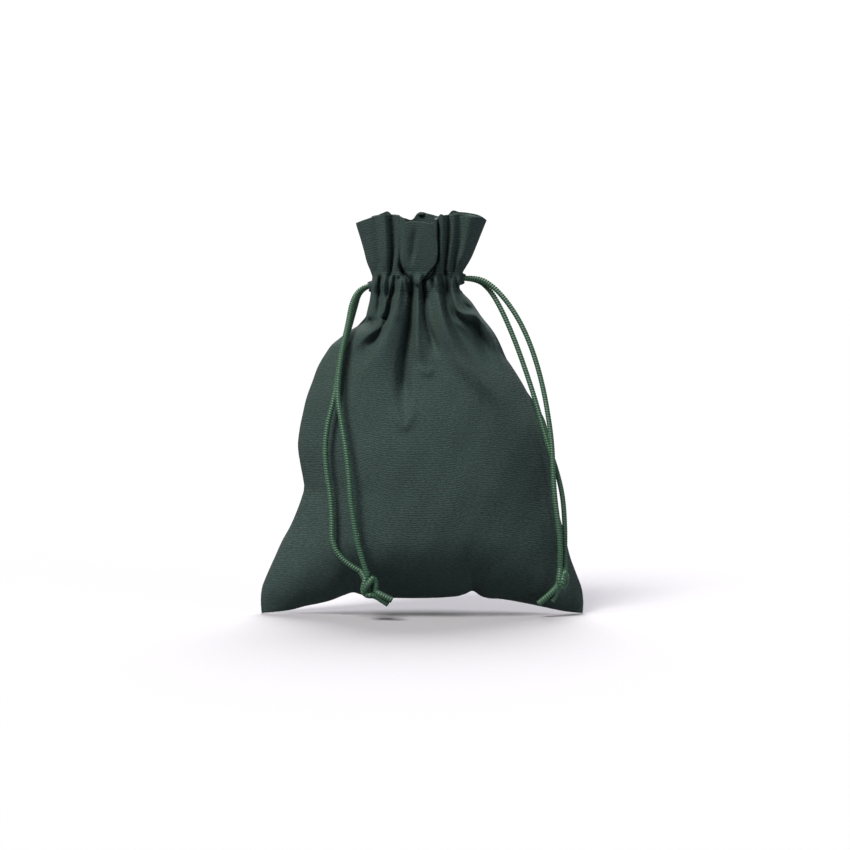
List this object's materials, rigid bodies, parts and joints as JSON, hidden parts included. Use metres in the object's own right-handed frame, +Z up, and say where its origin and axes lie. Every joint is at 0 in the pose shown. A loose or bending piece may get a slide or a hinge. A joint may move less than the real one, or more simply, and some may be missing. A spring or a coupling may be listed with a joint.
{
  "type": "fabric gift sack",
  "caption": "Filled drawstring pouch of ribbed cotton with a gathered ruffled neck and knotted satin drawcords leaving at both sides.",
  "frame": {"origin": "on the floor under the middle of the sack, at the bottom centre of its cloth", "axes": "+Z up, the front of the sack faces -Y, +X to the viewer's right when looking at the front"},
  "size_m": [0.1261, 0.0565, 0.153],
  "materials": {
    "cotton_cloth": "matt bottle-green cotton with a fine cross rib",
    "satin_cord": "bright green satin-covered round cord",
    "sewing_thread": "matching polyester sewing thread"
  },
  "bodies": {
    "sack": {"front_panel": "cotton_cloth", "back_panel": "cotton_cloth", "left_side_seam": "cotton_cloth", "right_side_seam": "cotton_cloth", "left_seam_stitches": "sewing_thread", "right_seam_stitches": "sewing_thread", "left_slot_hem": "cotton_cloth", "right_slot_hem": "cotton_cloth"},
    "front_neck": {"front_channel": "cotton_cloth", "front_heading": "cotton_cloth", "front_hem_facing": "cotton_cloth", "front_lower_stitches": "sewing_thread", "front_upper_stitches": "sewing_thread", "left_cord_front_run": "satin_cord", "right_cord_front_run": "satin_cord"},
    "back_neck": {"back_channel": "cotton_cloth", "back_heading": "cotton_cloth", "back_hem_facing": "cotton_cloth", "back_lower_stitches": "sewing_thread", "back_upper_stitches": "sewing_thread", "left_cord_back_run": "satin_cord", "right_cord_back_run": "satin_cord"},
    "left_pull": {"left_cord_front_strand": "satin_cord", "left_cord_back_strand": "satin_cord"},
    "left_pull_end": {"left_knot": "satin_cord", "left_front_tail": "satin_cord", "left_back_tail": "satin_cord"},
    "right_pull": {"right_cord_front_strand": "satin_cord", "right_cord_back_strand": "satin_cord"},
    "right_pull_end": {"right_knot": "satin_cord", "right_front_tail": "satin_cord", "right_back_tail": "satin_cord"}
  },
  "joints": [
    {"name": "neck_open", "type": "slide", "parent": "sack", "child": "front_neck", "axis": [0, -1, 0], "range_m": [0, 0.01]},
    {"name": "neck_open_back", "type": "slide", "parent": "sack", "child": "back_neck", "axis": [0, 1, 0], "range_m": [0, 0.01]},
    {"name": "left_cord_swing", "type": "hinge", "parent": "sack", "child": "left_pull", "pos_m": [-0.0206, 0, 0.1266], "axis": [0, 1, 0], "range_deg": [0, 70]},
    {"name": "left_cord_draw", "type": "slide", "parent": "left_pull", "child": "left_pull_end", "axis": [0, -0.28, 0.96], "range_m": [0, 0.019], "deforming": ["left_cord_front_strand", "left_cord_back_strand"]},
    {"name": "right_cord_swing", "type": "hinge", "parent": "sack", "child": "right_pull", "pos_m": [0.0154, 0, 0.1294], "axis": [0, -1, 0], "range_deg": [0, 70]},
    {"name": "right_cord_draw", "type": "slide", "parent": "right_pull", "child": "right_pull_end", "axis": [0, -0.28, 0.96], "range_m": [0, 0.019], "deforming": ["right_cord_front_strand", "right_cord_back_strand"]}
  ],
  "couplings": [
    {"joint": "neck_open_back", "follows": "neck_open", "ratio": 1},
    {"joint": "left_cord_draw", "follows": "neck_open", "ratio": 1.9},
    {"joint": "right_cord_draw", "follows": "neck_open", "ratio": 1.9}
  ]
}
